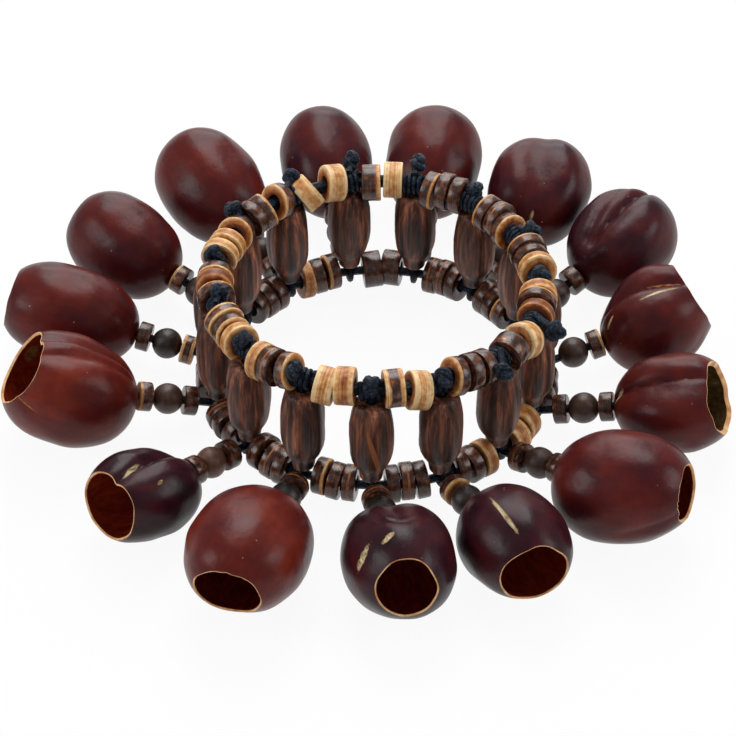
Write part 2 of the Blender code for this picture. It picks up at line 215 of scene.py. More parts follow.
# %% Seed inside and edge
def make_seed_inside(name, dark, light):
    """Raw inner wall: fibres 1.1 mm wide along the seed, dull, with a patch of crust in one seed."""
    material, add, surface = new_material(name)
    seed = add("Attribute", attribute_name="seed").outputs["Vector"]
    along = add("Mapping", seed, Scale=(1.0, 1.0, 0.2))
    fibre = add("TexNoise", along, Scale=per_mm(1.1), Detail=5.0, Roughness=0.65)
    shade = add("ValToRGB", fibre, stops=[(0.3, dark), (0.7, light)])
    patch = add_patch(add, "crust", 1.2, 1.5, fibre)
    crust = add("ValToRGB", fibre, stops=[(0.35, "#5c4424"), (0.65, "#b58a4e")])
    base = add("Mix", patch, shade, crust, data_type="RGBA")
    finish_surface(surface, base, 0.6, bump=fibre, strength=0.6, depth=0.4, specular=0.12)
    return material


def make_sawn_edge():
    """Sawn seed wall: straw with orange stains 2.4 mm across."""
    material, add, surface = new_material("sawn seed wall")
    seed = add("Attribute", attribute_name="seed").outputs["Vector"]
    stain = add("TexNoise", seed, Scale=per_mm(2.4), Detail=4.0)
    shade = add("ValToRGB", stain, stops=[(0.3, "#b4713e"), (0.5, "#d7a066"), (0.72, "#ecc896")])
    finish_surface(surface, shade, 0.55, bump=stain, strength=0.4, depth=0.2)
    return material


raw_inside = make_seed_inside("raw seed wall", "#74140a", "#ad4524")
crusted_inside = make_seed_inside("crusted seed wall", "#3a2a18", "#8a6c42")
sawn_edge = make_sawn_edge()
print("made", raw_inside.name, crusted_inside.name, sawn_edge.name)

# %% [markdown]
# ## Finished meshes and where they go
# A bmesh becomes an object once. It sits at the origin with its place in its mesh, rides on a body, takes
# its materials and hides the solids that it stands for. What a material has to know of a point is stored
# with its vertices first.

# %% Making a piece
SHARP_ANGLE = math.radians(42.0)


def store(bm, name, values):
    """Store a number or a vector for each vertex under a name that the materials read."""
    layers = bm.verts.layers
    layer = layers.float.new(name) if isinstance(values[0], float) else layers.float_vector.new(name)
    for vert, value in zip(bm.verts, values):
        vert[layer] = value


def add_piece(name, bm, materials, body, nodes):
    """Turn a bmesh into a piece of the bracelet."""
    mesh = bpy.data.meshes.new(name)
    bm.to_mesh(mesh)
    bm.free()
    mesh.shade_smooth()
    mesh.set_sharp_from_angle(angle=SHARP_ANGLE)
    for material in materials:
        mesh.materials.append(material)
    piece = bpy.data.objects.new(name, mesh)
    bpy.context.scene.collection.objects.link(piece)
    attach(piece, body)
    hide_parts(*nodes)
    return piece


def drop_place(number):
    """Where a drop starts on the lower cord: +Z runs out along it and +X is its upper side."""
    swing = joints[f"drop_{number:02d}_swing"]
    out = Vector(joints[f"shell_{number:02d}_spin"]["axis"]).normalized()
    side = Vector(swing["axis"]).normalized()
    place = Matrix((side.cross(out), side, out)).transposed().to_4x4()
    place.translation = Vector(swing["pos_m"])
    return place


# %% [markdown]
# ## Seed shells
# A seed is an egg with folds, and no two are alike. Each starts as an open tube of faces. One end is
# drawn in to the hole for the cord and the other runs out to the saw cut, so the two edges are clean
# rings. A dip is a soft hollow in the surface and a crease a fold along it. A Solidify modifier then gives
# the wall its thickness, with its own materials inside and on the edge. A sculpted mesh would do as
# well, but numbers keep the seeds easy to change.

# %% The seeds, one by one
# Lengths in millimetres, angles in degrees from the seed's upper side. Places run from -1 at the drop to 1
# at the mouth. A dip is (angle, depth, spread, place, reach). A crease is (angle at the drop, angle at the
# mouth, depth, spread, first place, last place, roundness), where a roundness of 1 is a sharp fold and 2 a
# soft valley. A scrape is (angle, place, half length, half width, turn from the seed's length). A crack and
# a crust inside are given like a scrape.
Seed = namedtuple(
    "Seed",
    "length width height lean pitch taper cut tip swing ragged wall ripe dips creases scrapes crack crust",
    defaults=(None, None))
SEEDS = (
    Seed(29.0, 22.8, 22.5, -6, 0, 0.05, 2.4, -5, 0, 0.3, 1.0, 0.50,
         [(30, 0.5, 40, 0.0, 1.2), (-70, 0.5, 40, 0.2, 0.8)], [], []),
    Seed(32.0, 22.8, 21.8, 0, 0, 0.05, 2.2, 0, 0, 0.3, 1.0, 0.60,
         [(-100, 0.4, 50, 0.0, 0.8)], [], []),
    Seed(30.5, 25.6, 25.0, -8, 8, 0.05, 3.0, 15, 0, 0.3, 0.65, 0.74,
         [(-110, 0.5, 30, 0.6, 0.5)],
         [(23, 16, 2.2, 11, -0.7, 1.2, 1.2), (4, -22, 1.5, 12, -0.6, 1.2, 1.3),
          (-86, -86, 0.7, 6, 0.7, 1.2, 1.0)],
         [], (-86, 0.62, 3.2, 0.22, -6), (97, 0.6, 2.0, 2.8, 0)),
    Seed(26.0, 20.5, 20.0, -12, 4, 0.05, 3.6, -2, 13, 0.2, 0.5, 0.16,
         [(-95, 1.5, 40, 0.9, 0.6), (0, 0.5, 34, 0.0, 1.0)], [(36, -26, 2.3, 13, -0.6, 1.1, 1.2)],
         [(-4, 0.38, 2.6, 0.45, 24), (-39, 0.08, 0.8, 0.35, 30)]),
    Seed(33.4, 26.5, 25.1, 3, 0, -0.05, 1.8, -22, 0, 0.3, 0.45, 0.72,
         [(180, 1.6, 40, 0.95, 0.5), (0, 1.4, 60, 0.0, 1.4)], [], []),
    Seed(29.0, 24.1, 23.6, 2, 3, -0.1, 2.2, 4, -10, 0.25, 0.45, 0.18,
         [(60, 0.9, 26, 0.85, 0.5), (-60, 0.9, 26, 0.85, 0.5), (180, 0.6, 40, 0.3, 1.0),
          (-91, 0.25, 30, -0.2, 0.5)],
         [(-2, -2, 2.2, 22, -1.0, -0.1, 1.5)],
         [(58, 0.38, 3.2, 0.9, -80), (19, 0.44, 1.8, 0.7, -66)]),
    Seed(28.0, 22.6, 22.6, -1, 0, -0.08, 2.9, -11, -13, 0.3, 0.45, 0.2,
         [(35, 0.6, 26, 0.85, 0.5), (-40, 0.6, 26, 0.85, 0.5), (180, 0.4, 40, 0.0, 1.0),
          (97, 0.25, 30, -0.33, 0.5)],
         [], [(19, 0.22, 6.0, 0.5, -4)]),
    Seed(31.5, 25.2, 24.3, 18, 0, -0.05, 1.8, -4, 0, 0.4, 0.65, 0.56,
         [(150, 0.9, 30, 0.9, 0.5), (60, 0.3, 50, 0.0, 0.8)], [(120, 100, 0.8, 14, 0.3, 1.1, 1.3)], []),
    Seed(27.0, 22.4, 22.0, -2, 0, 0.05, 3.4, 10, 0, 0.6, 1.2, 0.54,
         [(180, 0.4, 40, 0.0, 1.0)],
         [(27, 2, 1.3, 9, -1.0, 1.2, 1.1), (29, 24, 1.7, 21, -1.0, 1.2, 2.0)],
         [(26, -0.82, 2.0, 0.5, 35)]),
    Seed(27.0, 22.8, 22.4, 14, 0, 0.05, 3.5, 12, -9, 0.3, 0.8, 0.52,
         [(-55, -1.1, 34, 0.2, 0.8), (40, -0.4, 34, 0.1, 0.8), (180, 0.4, 40, 0.0, 1.0),
          (100, 2.0, 50, 0.75, 0.45)],
         [(-62, 32, 3.2, 17, -0.6, 1.2, 1.2)],
         [(13, 0.06, 4.6, 0.42, -12), (-8, -0.79, 2.0, 0.4, 5)], (1, 0.36, 4.6, 0.22, -34)),
    Seed(27.5, 23.8, 23.5, 12, 0, 0.05, 2.4, -12, 0, 0.3, 1.0, 0.32,
         [(38, -0.6, 34, 0.2, 0.9)],
         [(-9, 2, 3.6, 17, -0.5, 1.2, 1.2), (-20, -36, 1.5, 11, -0.5, 1.2, 1.3)], []),
    Seed(27.5, 24.0, 23.6, 14, 0, 0.05, 2.4, -14, 0, 0.3, 1.0, 0.38,
         [(-40, -0.5, 40, 0.0, 0.9), (50, -0.5, 40, 0.0, 0.9)],
         [(20, -9, 2.7, 28, -1.1, 1.2, 2.0)],
         [(16, -0.8, 1.3, 0.4, 0)]),
    Seed(29.0, 23.0, 23.5, 0, 0, 0.05, 2.4, -10, 0, 0.3, 1.0, 0.54,
         [(-20, 0.6, 40, 0.0, 1.2)], [], []),
    Seed(29.0, 22.0, 22.5, 0, 0, 0.05, 2.4, -10, 0, 0.3, 1.0, 0.40,
         [(30, 0.5, 40, 0.0, 1.2)], [], []),
    Seed(31.0, 24.0, 23.6, 0, 0, 0.05, 2.4, -6, 0, 0.3, 1.0, 0.58,
         [(-45, 0.4, 34, 0.0, 1.2), (40, 0.4, 40, 0.0, 0.8), (180, 0.4, 40, 0.0, 1.0)], [], []),
)
print(len(SEEDS), "seeds")

# %% [markdown]
# The surface of a seed comes from the unit sphere: it is filled out a little, stretched to the seed's
# three sizes, lowered by the dips and creases and made slightly lumpy by a noise.

# %% The surface of a seed
FULLNESS = 2.25
CREASE_FADE = 0.25
LUMP_HEIGHT = 0.35
LUMP_PACE = 2.3
SCRAPE_DEPTH = 6 * MM
NOWHERE = (99.0, 0.0, 0.0)


def angle_between(a, b):
    """The turn from b to a, within half a turn."""
    return (a - b + math.pi) % (2.0 * math.pi) - math.pi


def seed_point(unit, seed):
    """Move a point of the unit sphere, whose +Z is the mouth's end, to the seed's surface."""
    around = math.hypot(unit.x, unit.y)
    full = (abs(unit.z) ** FULLNESS + around ** FULLNESS) ** (-1.0 / FULLNESS)
    turn = math.atan2(unit.y, unit.x)
    dip = 0.0
    for at, depth, spread, place, reach in seed.dips:
        side = angle_between(turn, math.radians(at)) / math.radians(spread)
        dip += depth * math.exp(-side ** 2 - ((unit.z - place) / reach) ** 2)
    for first_at, last_at, depth, spread, first, last, roundness in seed.creases:
        at = first_at + (last_at - first_at) * (unit.z + 1.0) / 2
        side = abs(angle_between(turn, math.radians(at))) / math.radians(spread)
        beyond = max(first - unit.z, unit.z - last, 0.0)
        dip += depth * math.exp(-side ** roundness - (beyond / CREASE_FADE) ** 2)
    swell = full * around * (1.0 + seed.taper * unit.z) / 2
    own_part = Vector((seed.length, seed.width, seed.height))
    lump = LUMP_HEIGHT * noise.noise(unit * LUMP_PACE + own_part)
    inward = (dip - lump) * around
    return Vector((
        (swell * seed.height - inward) * math.cos(turn),
        (swell * seed.width - inward) * math.sin(turn),
        full * unit.z * seed.length / 2,
    )) * MM


def scrape_places(points, seed, scrape):
    """How far each point is along and across a scrape; far away for all where there is none."""
    if scrape is None:
        return [NOWHERE] * len(points)
    at, place, half_length, half_width, turn = scrape
    around = math.sqrt(max(0.0, 1.0 - place ** 2))
    angle = math.radians(at)
    unit = Vector((around * math.cos(angle), around * math.sin(angle), place))
    middle = seed_point(unit, seed)
    up = unit.normalized()
    forward = (Vector((0.0, 0.0, 1.0)) - up * up.z).normalized()
    forward = Matrix.Rotation(math.radians(turn), 3, up) @ forward
    across = up.cross(forward)
    found = []
    for point in points:
        away = point - middle
        place = (away.dot(forward) / (half_length * MM), away.dot(across) / (half_width * MM), 0.0)
        found.append(NOWHERE if away.dot(up) < -SCRAPE_DEPTH else place)
    return found


# %% [markdown]
# Along each line from the drop to the mouth, the tube's rings are spread between two angles: where the
# line leaves the drilled hole, and where it meets the saw cut. Both are found by halving. The last ring but
# one is moved close to the cut, because the saw chips a narrow band of the coat away.

# %% Lines along a seed
HALVINGS = 24
HOLE_RADIUS = 1.35 * MM
SAW_WAVER = 1.9


def last_inside(test, low, high):
    """The angle between low and high up to which a test holds."""
    for _ in range(HALVINGS):
        middle = (low + high) / 2
        low, high = (middle, high) if test(middle) else (low, middle)
    return low


def seed_line(seed, number, turn, tilt):
    """A function from an angle to a point of the seed on one line, and the angles of hole and cut."""
    back = tilt.inverted()
    tip = Matrix.Rotation(math.radians(seed.tip), 3, "Y")
    saw = tip @ Matrix.Rotation(math.radians(seed.swing), 3, "X") @ Vector((0.0, 0.0, 1.0))
    saw_at = saw.z * (seed.length / 2 - seed.cut) * MM
    waver = noise.noise(Vector((math.cos(turn), math.sin(turn), number)) * SAW_WAVER)
    saw_at += seed.ragged * MM * waver

    def point(angle):
        out = math.sin(angle)
        ray = back @ Vector((out * math.cos(turn), out * math.sin(turn), -math.cos(angle)))
        unit = Vector((ray.x / seed.height, ray.y / seed.width, ray.z / seed.length)).normalized()
        return seed_point(unit, seed)

    hole = last_inside(lambda angle: (tilt @ point(angle)).xy.length < HOLE_RADIUS, 0.0, 1.0)
    mouth = last_inside(lambda angle: point(angle).dot(saw) < saw_at, 1.0, math.pi)
    return point, hole, mouth


# %% [markdown]
# A shell has three materials: the coat, the raw inside and the sawn edge. The wall and its rounded lip are
# live modifiers, so the thickness of each seed stays one number.

# %% A shell
SEED_SIDES = 96
SEED_RINGS = 64
LIP_START = 0.996
LIP_ROUNDING = 0.15 * MM
LIP_ANGLE = math.radians(50.0)
FIT = 0.3 * MM
CRUSTED_SEED = 9
# The places of a shell's second and third material.
INSIDE, EDGE = 1, 2


def make_shell(number, seed, start):
    """One hollow seed on its drop, sawn open at the outer end and drilled for the cord."""
    lean = Matrix.Rotation(math.radians(seed.lean), 3, "X")
    tilt = lean @ Matrix.Rotation(math.radians(seed.pitch), 3, "Y")
    bm = bmesh.new()
    bmesh.ops.create_cone(bm, cap_ends=False, segments=SEED_SIDES, radius1=1.0, radius2=1.0, depth=1.0)
    uprights = [edge for edge in bm.edges if abs(edge.verts[0].co.z - edge.verts[1].co.z) > 0.5]
    bmesh.ops.subdivide_edges(bm, edges=uprights, cuts=SEED_RINGS - 1)
    for face in bm.faces:
        if any(edge.is_boundary and edge.verts[0].co.z > 0.0 for edge in face.edges):
            face.material_index = EDGE
    lines = {}
    points = []
    for vert in bm.verts:
        turn = math.atan2(vert.co.y, vert.co.x)
        key = round(turn * SEED_SIDES / math.pi)
        if key not in lines:
            lines[key] = seed_line(seed, number, turn, tilt)
        point, hole, mouth = lines[key]
        share = vert.co.z + 0.5
        if round(share * SEED_RINGS) == SEED_RINGS - 1:
            share = LIP_START
        points.append(point(hole + share * (mouth - hole)))
        vert.co = tilt @ points[-1]
    reach = start + FIT - min(vert.co.z for vert in bm.verts)
    place = drop_place(number) @ Matrix.Translation((0.0, 0.0, reach))
    bmesh.ops.transform(bm, verts=bm.verts, matrix=place)
    store(bm, "seed", points)
    store(bm, "ripe", [seed.ripe] * len(points))
    marks = (*seed.scrapes, None, None)[:2] + (seed.crack, seed.crust)
    for name, mark in zip((*COAT_MARKS, "crust"), marks):
        store(bm, name, scrape_places(points, seed, mark))
    inside = crusted_inside if number == CRUSTED_SEED else raw_inside
    name = f"shell_{number:02d}"
    piece = add_piece(name + "_seed", bm, [seed_coat, inside, sawn_edge], name, [name])
    wall = piece.modifiers.new("wall", "SOLIDIFY")
    wall.thickness = seed.wall * MM
    wall.offset = -1.0
    wall.use_even_offset = True
    wall.material_offset = INSIDE
    wall.material_offset_rim = EDGE
    lip = piece.modifiers.new("lip", "BEVEL")
    lip.width = LIP_ROUNDING
    lip.segments = 2
    lip.limit_method = "ANGLE"
    lip.angle_limit = LIP_ANGLE
    return piece


# %% [markdown]
# Every drop is as long as its beads, so a shell's place follows from the discs and the bead before it.

# %% Make the shells
DROP_START = 5.2 * MM
DISC_STEP = 3.35 * MM
BEAD_DIAMETER = 7.0 * MM
DROPS_WITH_ONE_DISC = (10,)


def drop_length(number):
    """How far the outer disc of a drop reaches from the lower cord."""
    discs = 1 if number in DROPS_WITH_ONE_DISC else 2
    return DROP_START + discs * DISC_STEP + BEAD_DIAMETER


shells = [make_shell(number, seed, drop_length(number)) for number, seed in enumerate(SEEDS, 1)]
print(len(shells), "shells of", len(shells[0].data.polygons), "faces before their walls")

# %% [markdown]
# ## Coconut wood
# The discs are cut from coconut shell. Its layers show as bands: a dark brown skin that polishes well and
# a straw-coloured to orange layer under it. A disc can have a pale face, a thin pale line round it or be
# pale all through. Corners are worn pale and the faces are browner near the bore. Each disc stores how far
# a point is along its axis and from it, a number of its own for its grain, and where its layers change, so
# one material serves them all.

# %% Coconut wood
def make_coconut_wood():
    """Polished coconut shell: 1.5 mm mottling, layers round each disc, worn corners, wavy borders."""
    material, add, surface = new_material("polished coconut shell")
    spot = add("TexCoord").outputs["Object"]
    disc = add("Attribute", attribute_name="disc").outputs["Vector"]
    layers = add("Attribute", attribute_name="layers").outputs["Vector"]
    tint = add("Attribute", attribute_name="tint").outputs["Fac"]
    in_disc = add("SeparateXYZ", disc).outputs
    limits = add("SeparateXYZ", layers).outputs
    mottle = add("TexNoise", spot, Scale=per_mm(1.5), Detail=4.0, Roughness=0.6)
    across = add("Mapping", disc, Scale=(5.0, 3.0, 1.0))
    layer = add("TexNoise", across, Scale=1.0, Detail=4.0, Roughness=0.7)
    wander = add("Math", mottle, 0.5, -0.25, operation="MULTIPLY_ADD")
    face_on = add("Math", in_disc["X"], operation="ABSOLUTE")
    near_face = add("MapRange", face_on, 0.2, 1.0, 0.2, -0.35)
    near_rim = add("MapRange", in_disc["Y"], 0.82, 0.97)
    worn = add("Math", near_face, near_rim, operation="MULTIPLY")
    heart = add("MapRange", in_disc["Y"], 0.5, 0.92, 0.6, 0.0)
    darkened = add("Math", worn, heart, operation="ADD")
    grained = add("Math", layer, 1.6, -0.8, operation="MULTIPLY_ADD")
    uneven = add("Math", darkened, grained, operation="ADD")
    along = add("Math", in_disc["X"], wander, operation="ADD")
    above = add("Math", along, limits["X"], operation="SUBTRACT")
    below = add("Math", limits["Y"], along, operation="SUBTRACT")
    off_line = add("Math", along, operation="ABSOLUTE")
    on_line = add("Math", limits["Z"], off_line, operation="SUBTRACT")
    either = add("Math", above, below, operation="MAXIMUM")
    any_layer = add("Math", either, on_line, operation="MAXIMUM")
    pale = add("MapRange", any_layer, -0.06, 0.06)
    mixed = add("Math", grained, 0.5, mottle, operation="MULTIPLY_ADD")
    skin = add("ValToRGB", mixed, stops=[
        (0.3, "#23130d"), (0.5, "#472a1f"), (0.66, "#774731"), (0.8, "#a86a3c")])
    lighter = add("Math", mottle, 1.4, -0.7, operation="MULTIPLY_ADD")
    shaded = add("Math", lighter, uneven, operation="ADD")
    toned = add("Math", shaded, tint, operation="ADD", use_clamp=True)
    straw = add("ValToRGB", toned, stops=[
        (0.0, "#eecb98"), (0.3, "#d09857"), (0.65, "#ab632d"), (1.0, "#673319")])
    base = add("Mix", pale, skin, straw, data_type="RGBA")
    dull = add("MapRange", pale, 0.0, 1.0, 0.24, 0.5)
    finish_surface(surface, base, dull, bump=mottle, strength=0.35, depth=0.25)
    return material


coconut_wood = make_coconut_wood()
print("made", coconut_wood.name)

# %% [markdown]
# ## Turned shapes
# Discs, beads and columns are all turned, so half their outline is spun round an axis. A full spin merges
# its last step with its first. Doubles on the axis are merged too, and the faces are turned outward.

# %% Turning
CLOSE = 0.002 * MM


def spin_outline(bm, outline, steps):
    """Spin a closed half outline of (radius, height) points about Z, and return the new vertices."""
    before = set(bm.verts)
    points = [bm.verts.new((radius, 0.0, height)) for radius, height in outline]
    edges = [bm.edges.new(pair) for pair in zip(points, points[1:] + points[:1])]
    bmesh.ops.spin(
        bm, geom=points + edges, cent=(0.0, 0.0, 0.0), axis=(0.0, 0.0, 1.0), dvec=(0.0, 0.0, 0.0),
        angle=2.0 * math.pi, steps=steps, use_merge=True)
    bmesh.ops.remove_doubles(bm, verts=[v for v in bm.verts if v not in before], dist=CLOSE)
    made = [v for v in bm.verts if v not in before]
    faces = dict.fromkeys(face for vert in made for face in vert.link_faces)
    bmesh.ops.recalc_face_normals(bm, faces=list(faces))
    return made


# %% [markdown]
# ## Discs
# A disc is a small washer with worn edges. Its outline is a rectangle that is spun and then bevelled.
# Discs are cut by hand, so each is a little oval, tilted and off centre on its cord. A look says above and
# below which height a disc is pale, how wide its pale line is, and how brown the pale wood is.

# %% Discs
shaker = random.Random(7)
DISC_STEPS = 28
DISC_BORE = 1.85 * MM
DISC_ROUNDING = 0.3 * MM
DISC_CORNER = math.radians(60.0)
GRAIN_SPREAD = 90.0
Look = namedtuple("Look", "above below line tint")
LOOKS = {
    "dark": Look(2.0, -2.0, -1.0, 0.5),
    "line": Look(2.0, -2.0, 0.14, 0.55),
    "edge": Look(0.55, -2.0, -1.0, 0.5),
    "back": Look(2.0, -0.55, -1.0, 0.5),
    "both": Look(0.5, -0.5, -1.0, 0.42),
    "tan": Look(-2.0, 2.0, 2.0, 0.42),
    "light": Look(-2.0, 2.0, 2.0, 0.22),
    "orange": Look(-2.0, 2.0, 2.0, 0.85),
}


class DiscSet:
    """Discs that share one mesh, with what the coconut wood needs to know of each."""

    def __init__(self):
        self.bm = bmesh.new()
        self.disc = self.bm.verts.layers.float_vector.new("disc")
        self.layers = self.bm.verts.layers.float_vector.new("layers")
        self.tint = self.bm.verts.layers.float.new("tint")

    def add(self, place, radius, half, look, bore=DISC_BORE):
        """Add one disc about the Z axis of a place."""
        outline = [(bore, half), (radius, half), (radius, -half), (bore, -half)]
        made = spin_outline(self.bm, outline, DISC_STEPS)
        edges = dict.fromkeys(edge for vert in made for edge in vert.link_edges)
        level = [edge for edge in edges if abs(edge.verts[0].co.z - edge.verts[1].co.z) < CLOSE]
        corners = [edge for edge in level if edge.calc_face_angle(0.0) > DISC_CORNER]
        done = bmesh.ops.bevel(
            self.bm, geom=corners, offset=DISC_ROUNDING, offset_type="OFFSET", segments=2, profile=0.5,
            affect="EDGES", material=-1)
        made = list(dict.fromkeys([vert for vert in made if vert.is_valid] + done["verts"]))
        kind = LOOKS[look]
        grain = shaker.uniform(0.0, GRAIN_SPREAD)
        for vert in made:
            vert[self.disc] = (vert.co.z / half, math.hypot(vert.co.x, vert.co.y) / radius, grain)
            vert[self.layers] = (kind.above, kind.below, kind.line)
            vert[self.tint] = kind.tint
        bmesh.ops.transform(self.bm, matrix=place, verts=made)


# %% [markdown]
# ## The two rings of discs
# The stacks between the columns follow the photograph, going round from the column at the back left. The
# upper ring shows many pale faces; the lower one is mostly dark with a few pale discs. A pale disc that is
# a solid of its own stays a piece of its own.

# %% The stacks
# Each disc of the upper ring: its look, its shift along the cord and up in millimetres, and how far its
# leading face is tipped up and swung inward in degrees.
UPPER_STACKS = (
    (("edge", -1.6, 0.0, 22, 10), ("tan", 0.0, 0.2, 6, 0), ("light", 0.3, -0.3, 2, 3)),
    (("edge", -0.6, 0.0, 6, 0), ("orange", -0.2, 0.4, 2, -4), ("back", 0.2, 0.0, -4, 3)),
    (("both", -0.6, 0.3, -3, 4), ("edge", 0.0, 0.0, 4, 0), ("tan", 0.9, -0.3, 12, -3)),
    (("tan", -0.4, -0.4, 6, 3), ("line", 0.0, 0.0, 9, 0), ("edge", 0.8, 0.5, 18, 0)),
    (("light", -0.1, 0.0, -5, 5), ("tan", -0.4, 0.2, 1, 0)),
    (("both", -0.5, 0.5, 2, 0), ("light", 0.2, -0.9, -11, 3)),
    (("back", -0.9, 0.3, -17, 0), ("dark", -0.2, 0.2, -11, 0), ("dark", 0.2, -0.2, -8, 3)),
    (("dark", -1.2, -0.4, 4, 6), ("light", -0.4, -1.0, -24, -8)),
    (("orange", -1.6, 0.0, -9, 0), ("edge", -1.1, 0.2, -3, -3), ("tan", -0.8, 0.0, 1, 3)),
    (("tan", -1.2, 0.0, -10, 3), ("dark", -0.8, 0.3, -4, 0), ("edge", -0.6, 0.0, 1, -3)),
    (("back", -0.8, -0.3, -9, 0), ("line", -0.3, 0.0, -3, 4), ("edge", 0.0, 0.0, 2, 0)),
    (("dark", -0.3, 0.2, -4, 3), ("dark", -0.2, 0.2, -4, 3), ("back", 0.4, -0.2, 3, -3)),
    (("light", -0.2, 0.2, 1, 0), ("back", 0.2, -0.2, -2, 0)),
    (("light", -1.2, 0.3, 9, 3), ("light", 0.7, -0.4, -26, 5)),
    (("edge", -1.4, 0.3, 15, 4), ("back", 0.3, 0.0, -14, -6), ("dark", 0.7, 0.0, -10, 0)),
)
# Which disc of each upper stack is a solid of its own.
PALE_PLACES = (2, 1, 2, 0, 0, 1, 0, 1, 0, 0, None, None, 0, 0, 1)
LOWER_LOOKS = (
    ("dark", "line", "dark"), ("dark", "dark"), ("line", "dark", "dark"), ("dark", "line", "dark"),
    ("edge", "dark", "line"), ("dark", "line", "dark"), ("dark", "dark", "tan"), ("tan", "tan"),
    ("dark", "dark", "dark"), ("dark", "line", "dark"), ("edge", "dark", "dark"), ("dark", "line", "line"),
    ("dark", "dark"), ("edge", "dark", "tan"), ("dark", "dark", "dark"),
)
LOWER_LIFT = 0.5
LOWER_STACKS = [[(look, 0.0, LOWER_LIFT, 0, 0) for look in looks] for looks in LOWER_LOOKS]
print(sum(map(len, UPPER_STACKS)), "upper discs,", sum(map(len, LOWER_STACKS)), "lower discs")

# %% [markdown]
# A place on a ring is a matrix whose Z axis runs along the cord, so a disc that was spun about Z only has
# to be carried there. The upper ring sags on the right.

# %% Places on a ring
RING_CENTRE = Vector((3.6, 0.7, 0.0)) * MM
PITCH = 2.0 * math.pi / COUNT
FIRST_AZIMUTH = math.radians(148.0)
LOWER_RADIUS = 36.8 * MM
UPPER_RADIUS = 36.0 * MM
LOWER_Z = 3.973 * MM
UPPER_Z = 31.273 * MM
SAG = 2.0 * MM
SAG_SPREAD = math.radians(50.0)
DISC_GAP = 0.35 * MM
TIE_ROOM = 6.2 * MM


def ring_place(azimuth, radius, height):
    """A place on a ring: +Z runs along the cord, +X is up and +Y is outward."""
    outward = Vector((math.cos(azimuth), math.sin(azimuth), 0.0))
    place = Matrix((Vector((0.0, 0.0, 1.0)), outward, Vector((-outward.y, outward.x, 0.0))))
    place = place.transposed().to_4x4()
    place.translation = Vector((RING_CENTRE.x, RING_CENTRE.y, height)) + outward * radius
    return place


def upper_height(azimuth):
    """The height of the upper ring's cord, which sags on the right."""
    return UPPER_Z - SAG * math.exp(-(angle_between(azimuth, 0.0) / SAG_SPREAD) ** 2)


def lower_height(azimuth):
    """The height of the lower ring's cord, which lies level."""
    return LOWER_Z


def stack_spans(number, discs, radius):
    """The start and end azimuth of each disc in the stack after a column, counted from 0."""
    length = PITCH * radius - TIE_ROOM
    thickness = (length - (discs - 1) * DISC_GAP) / discs
    first = FIRST_AZIMUTH + PITCH * number + TIE_ROOM / 2 / radius
    starts = [first + place * (thickness + DISC_GAP) / radius for place in range(discs)]
    return [(start, start + thickness / radius) for start in starts]


print("a stack takes", round((PITCH * UPPER_RADIUS - TIE_ROOM) / MM, 1), "mm of the upper ring")

# %% [markdown]
# Threaded discs never sit square. Those of the upper ring get the shift and tilt that the photograph
# shows, and every disc a small one by chance, from seeded numbers.

# %% Discs of the two rings
DISC_RADIUS = 4.3 * MM
# How far discs lean by chance, in degrees, how far they drift up and out, in millimetres, and how oval
# they are.
UPPER_LEAN = 3.0
LOWER_LEAN = 7.0
DRIFT_UP = (-0.4, 0.3)
DRIFT_OUT = (-0.3, 0.3)
OVAL = (0.95, 1.02)
pale_nodes = iter([f"pale_disc_{number:02d}" for number in range(1, COUNT + 1)])


def hand_set(along, lift, tip_up, swing_in, lean):
    """How a disc sits on its cord: the shift and tilt it is given, and a small one of its own."""
    shift = Matrix.Translation((lift * MM, 0.0, along * MM))
    tilt = Matrix.Rotation(math.radians(swing_in), 4, "X") @ Matrix.Rotation(math.radians(tip_up), 4, "Y")
    tip = Matrix.Rotation(math.radians(shaker.uniform(-lean, lean)), 4, "X")
    swing = Matrix.Rotation(math.radians(shaker.uniform(-lean, lean)), 4, "Y")
    drift = Matrix.Translation((shaker.uniform(*DRIFT_UP) * MM, shaker.uniform(*DRIFT_OUT) * MM, 0.0))
    oval = Matrix.Diagonal((shaker.uniform(*OVAL), shaker.uniform(*OVAL), 1.0, 1.0))
    return shift @ tilt @ drift @ tip @ swing @ oval


def add_stack(ring, number, discs, radius, height, lean, pale_place=None):
    """The discs after one column: the dark ones share a piece, and a loose pale one is its own."""
    stack = DiscSet()
    spans = stack_spans(number, len(discs), radius)
    for place, ((start, end), (look, *pose)) in enumerate(zip(spans, discs)):
        middle = (start + end) / 2
        spot = ring_place(middle, radius, height(middle)) @ hand_set(*pose, lean)
        half = radius * math.tan((end - start) / 2)
        if place == pale_place:
            node = next(pale_nodes)
            loose = DiscSet()
            loose.add(spot, DISC_RADIUS, half, look)
            add_piece(node + "_turned", loose.bm, [coconut_wood], "rings", [node])
        else:
            stack.add(spot, DISC_RADIUS, half, look)
    name = f"{ring}_discs_{number + 1:02d}"
    add_piece(name, stack.bm, [coconut_wood], "rings", [ring + "_string"])


for number, (discs, pale) in enumerate(zip(UPPER_STACKS, PALE_PLACES)):
    add_stack("upper", number, discs, UPPER_RADIUS, upper_height, UPPER_LEAN, pale)
for number, discs in enumerate(LOWER_STACKS):
    add_stack("lower", number, discs, LOWER_RADIUS, lower_height, LOWER_LEAN)
print(COUNT - PALE_PLACES.count(None), "pale discs of their own")
